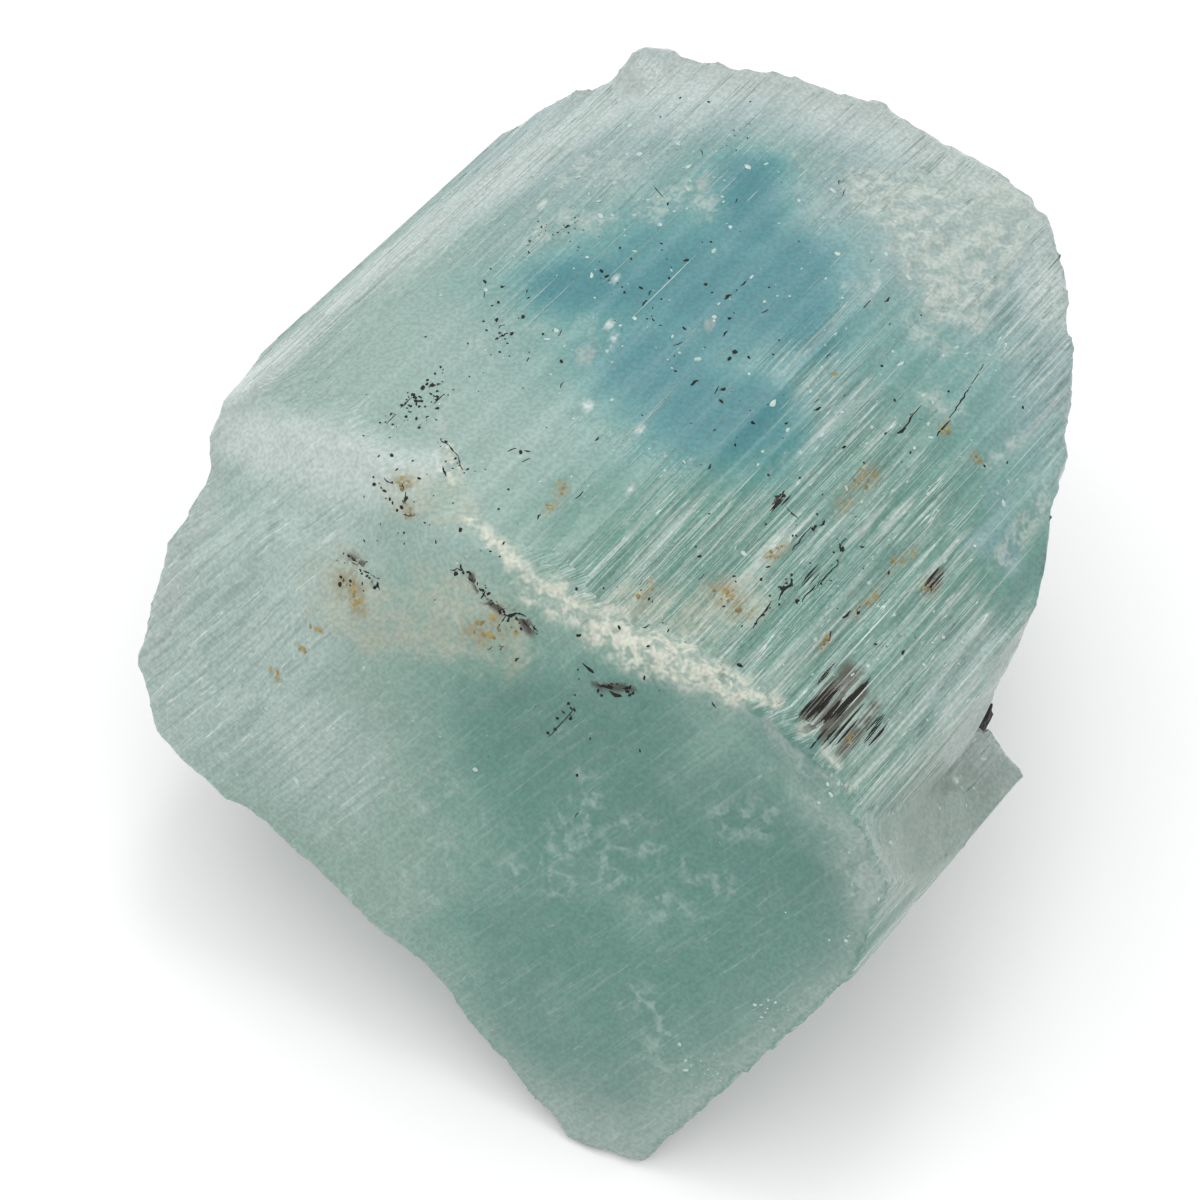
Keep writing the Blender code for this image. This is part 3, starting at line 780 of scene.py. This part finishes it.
def finished(name, shape):
    bmesh.ops.recalc_face_normals(shape, faces=shape.faces)
    mesh = bpy.data.meshes.new(name)
    shape.to_mesh(mesh)
    shape.free()
    return linked(name, mesh)


def needles(photo):
    """Black needles, flakes and specks sunk in the surface, standing just proud of it."""
    rng = random.Random(17)
    shape = bmesh.new()
    for start_pixel, end_pixel, width in NEEDLES:
        (start, normal), (end, _) = photo.hit(*start_pixel), photo.hit(*end_pixel)
        if not start or not end:
            continue
        steps = max(2, int((end - start).length / (NEEDLE_STEP * MM)))
        along = (end - start).normalized()
        side = normal.cross(along).normalized()
        centres, outward, halves = [], [], []
        for i in range(steps + 1):
            share = i / steps
            nearest, turned, _, _ = photo.tree.find_nearest(start.lerp(end, share))
            swell = math.sin(math.pi * (0.12 + 0.76 * share)) + rng.uniform(-0.3, 0.3)
            centres.append(nearest + side * rng.uniform(-0.3, 0.3) * width * MM)
            outward.append(turned)
            halves.append(max(width * MM / 2 * swell, 0.03 * MM))
        sides = [side] * len(centres)
        strip(shape, centres, outward, sides, halves, NEEDLE_PROUD * MM, NEEDLE_SUNK * MM)
    for point, normal, size in scattered(photo, SPECKS, rng):
        chip(shape, point, normal, size, rng, 0.4)
    for count, pixels in TRAILS:
        line = [found for found in (photo.hit(*pixel)[0] for pixel in pixels) if found]
        for _ in range(count):
            share = rng.random() * (len(line) - 1)
            spot = line[int(share)].lerp(line[int(share) + 1], share % 1.0)
            spot += Vector((rng.gauss(0, 1), rng.gauss(0, 1), rng.gauss(0, 1))) * 0.22 * MM
            point, normal, _, _ = photo.tree.find_nearest(spot)
            chip(shape, point, normal, rng.uniform(0.1, 0.3) * MM, rng, 0.4)
    for count, radius, middle, longest, widest in PLATES:
        centre = to_prism() @ photo.hit(*middle)[0] / MM
        for _ in range(count):
            length = longest * rng.uniform(0.4, 1.0)
            along = centre.x + rng.gauss(0, radius * 0.6) - length / 2
            start = (along, centre.y + rng.gauss(0, radius * 0.45))
            half = widest * rng.uniform(0.25, 0.5)
            stroke(shape, photo, start, length, half, rng.gauss(0, 0.01), PLATE_PROUD)
    return finished("dark_needles", shape)


def scattered(photo, groups, rng):
    """Points spread about each group's middle, with the surface's normal and a size."""
    for count, radius, middle, least, greatest in groups:
        centre, facing = photo.hit(*middle)
        if not centre:
            continue
        for _ in range(count):
            away = Vector((rng.gauss(0, 1), rng.gauss(0, 1), rng.gauss(0, 1))) * radius * MM * 0.6
            point, normal, _, _ = photo.tree.ray_cast(centre + facing * 4 * MM + away.cross(facing), -facing)
            if point:
                yield point, normal, (least + (greatest - least) * rng.random() ** 2.5) * MM


def chip(shape, point, normal, size, rng, flatness):
    """A small angular grain set in the surface."""
    made = bmesh.ops.create_icosphere(shape, subdivisions=1, radius=size / 2)["verts"]
    tilt = normal.to_track_quat("Z", "Y").to_matrix().to_4x4()
    squash = Matrix.Diagonal((rng.uniform(0.7, 1.5), rng.uniform(0.5, 1.0), flatness, 1))
    turn = Matrix.Rotation(rng.uniform(0, math.pi), 4, "Z")
    bmesh.ops.transform(shape, verts=made, matrix=Matrix.Translation(point) @ tilt @ turn @ squash)
    for vert in made:
        vert.co += (vert.co - point) * rng.uniform(-0.35, 0.35)


def crumbs(photo):
    """Small pale grains and flakes of beryl on the surface."""
    rng = random.Random(23)
    shape = bmesh.new()
    for point, normal, size in scattered(photo, CRUMBS, rng):
        chip(shape, point, normal, size, rng, 0.22)
    return finished("pale_crumbs", shape)


def stroke(shape, photo, start, length, half, slant, proud):
    """A strip laid over the surface along the prism from start, in mm in the prism's frame."""
    frame_out = to_prism().inverted()
    along = frame_out.to_3x3() @ Vector((1, 0, 0))
    centres, outward, sides = [], [], []
    steps = max(4, int(length / STRIP_STEP))
    for i in range(steps + 1):
        share = length * i / steps
        above = frame_out @ (Vector((start[0] + share, start[1] + slant * share, ABOVE)) * MM)
        point, normal, _, _ = photo.tree.ray_cast(above, Vector((0, 0, -1)))
        if not point or abs(normal.dot(along)) > 0.45:
            break
        if centres and abs(point.z - centres[-1].z) > 0.4 * MM:
            break
        centres.append(point)
        outward.append(normal)
        sides.append(normal.cross(along).normalized())
    if len(centres) < 4:
        return
    swell = [math.sin(math.pi * (0.06 + 0.88 * i / (len(centres) - 1))) for i in range(len(centres))]
    strip(shape, centres, outward, sides, [half * MM * s for s in swell], proud * MM, STRIP_SUNK * MM)


def ridges(photo, masks):
    """Thin pale growth ridges along the prism's faces."""
    rng = random.Random(31)
    shape = bmesh.new()
    frame_out = to_prism().inverted()
    for _ in range(RIDGES):
        x, y = rng.uniform(*RIDGE_AREA[0]), rng.uniform(*RIDGE_AREA[1])
        below = photo.tree.ray_cast(frame_out @ (Vector((x, y, ABOVE)) * MM), Vector((0, 0, -1)))[2]
        if below is None:
            continue
        corner = photo.mesh.polygons[below].vertices[0]
        kept = RIDGES_KEPT[0] if y < 4 else RIDGES_KEPT[1]
        if rng.random() > kept * (1 - 0.95 * masks["calm"][corner]):
            continue
        half = rng.uniform(0.02, 0.05) * (1.6 if rng.random() < 0.12 else 1)
        length = min(rng.lognormvariate(1.3, 0.7), RIDGE_LONGEST)
        stroke(shape, photo, (x, y), length, half, rng.gauss(0, 0.006), RIDGE_PROUD)
    return finished("growth_ridges", shape)


def rust_flakes(photo):
    """Thin brown and ochre flakes at the stains."""
    rng = random.Random(41)
    shape = bmesh.new()
    for radius, pixels in ZONES["stain"][2]:
        line = [photo.hit(*pixel) for pixel in pixels]
        line = [found for found in line if found[0]]
        if not line:
            continue
        groups = int(10 * radius * len(line))
        for _ in range(groups):
            share = rng.random()
            centre = line[0][0].lerp(line[-1][0], share)
            away = Vector((rng.gauss(0, 1), rng.gauss(0, 1), rng.gauss(0, 1))) * radius * MM * 0.55
            point, normal, _, _ = photo.tree.find_nearest(centre + away)
            chip(shape, point, normal, rng.uniform(0.12, 0.42) * MM, rng, 0.16)
    return finished("rust_flakes", shape)


def mica_flakes():
    """The lodged grain of mica, finely broken into sheets."""
    mesh = bpy.data.objects["mica_grain"].data.copy()
    mesh.materials.clear()
    shape = bmesh.new()
    shape.from_mesh(mesh)
    bmesh.ops.subdivide_edges(shape, edges=shape.edges, cuts=5, use_grid_fill=True)
    bmesh.ops.triangulate(shape, faces=shape.faces)
    shape.normal_update()
    tilt = Vector((0.5, -0.3, 0.8)).normalized()
    for vert in shape.verts:
        layer = vert.co.dot(tilt) / (0.22 * MM)
        ledge = 0.5 - abs(layer % 1.0 - 0.5)
        rough = noise.fractal(vert.co / (0.5 * MM), 1.0, 2.0, 3)
        vert.co -= vert.normal * MM * (0.10 * ledge + 0.10 * max(0.0, rough))
    shape.to_mesh(mesh)
    shape.free()
    return linked("mica_flakes", mesh)


def floor():
    bpy.ops.mesh.primitive_plane_add(size=FLOOR_SIZE, location=(0, 0, -FLOOR_GAP))
    plane = bpy.context.object
    plane.name = "floor"
    n = Nodes("floor_white")
    grain = n.noise(n.position(), 60.0, 3.0)
    n.put(n.shader.inputs["Base Color"], n.mix(grain, (0.93, 0.93, 0.93, 1), (0.95, 0.95, 0.95, 1)))
    n.shader.inputs["Roughness"].default_value = 0.9
    plane.data.materials.append(n.material)


def area_light(name, place, size, power):
    data = bpy.data.lights.new(name, "AREA")
    data.shape = "DISK"
    data.size = size
    data.energy = power
    lamp = linked(name, data)
    lamp.location = place
    towards = Vector((0, 0, LIT_HEIGHT)) - Vector(place)
    lamp.rotation_euler = towards.to_track_quat("-Z", "Y").to_euler()


def studio():
    for light in LIGHTS:
        area_light(*light)
    world = bpy.data.worlds.new("studio")
    world.use_nodes = True
    world.node_tree.nodes["Background"].inputs["Color"].default_value = (1.0, 1.0, 1.0, 1.0)
    world.node_tree.nodes["Background"].inputs["Strength"].default_value = SURROUNDINGS
    bpy.context.scene.world = world


def camera():
    data = bpy.data.cameras.new("camera")
    data.lens = LENS
    data.sensor_width = SENSOR
    data.clip_start = NEAREST
    made = linked("camera", data)
    made.location = Photo.place
    made.rotation_euler = Photo.forward.to_track_quat("-Z", "Y").to_euler()
    bpy.context.scene.camera = made


def dress(piece, material, node=None):
    piece.data.materials.append(material)
    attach(piece, "root")
    if node:
        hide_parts(node)


def main():
    camera()
    studio()
    floor()
    surface, masks = crystal_surface(Photo(bpy.data.objects["aquamarine_crystal"]))
    dress(surface, beryl(masks), "aquamarine_crystal")
    bpy.context.view_layer.update()
    photo = Photo(surface)
    pale = pale_beryl()
    dress(ridges(photo, masks), pale)
    dress(crumbs(photo), pale)
    mica = dark_mineral()
    dress(needles(photo), mica)
    dress(rust_flakes(photo), ochre())
    dress(mica_flakes(), mica, "mica_grain")
    bpy.context.scene.view_settings.view_transform = "Standard"
    bpy.context.scene.cycles.max_bounces = BOUNCES
    bpy.context.scene.cycles.diffuse_bounces = DIFFUSE_BOUNCES
    bpy.context.scene.cycles.glossy_bounces = GLOSSY_BOUNCES


main()
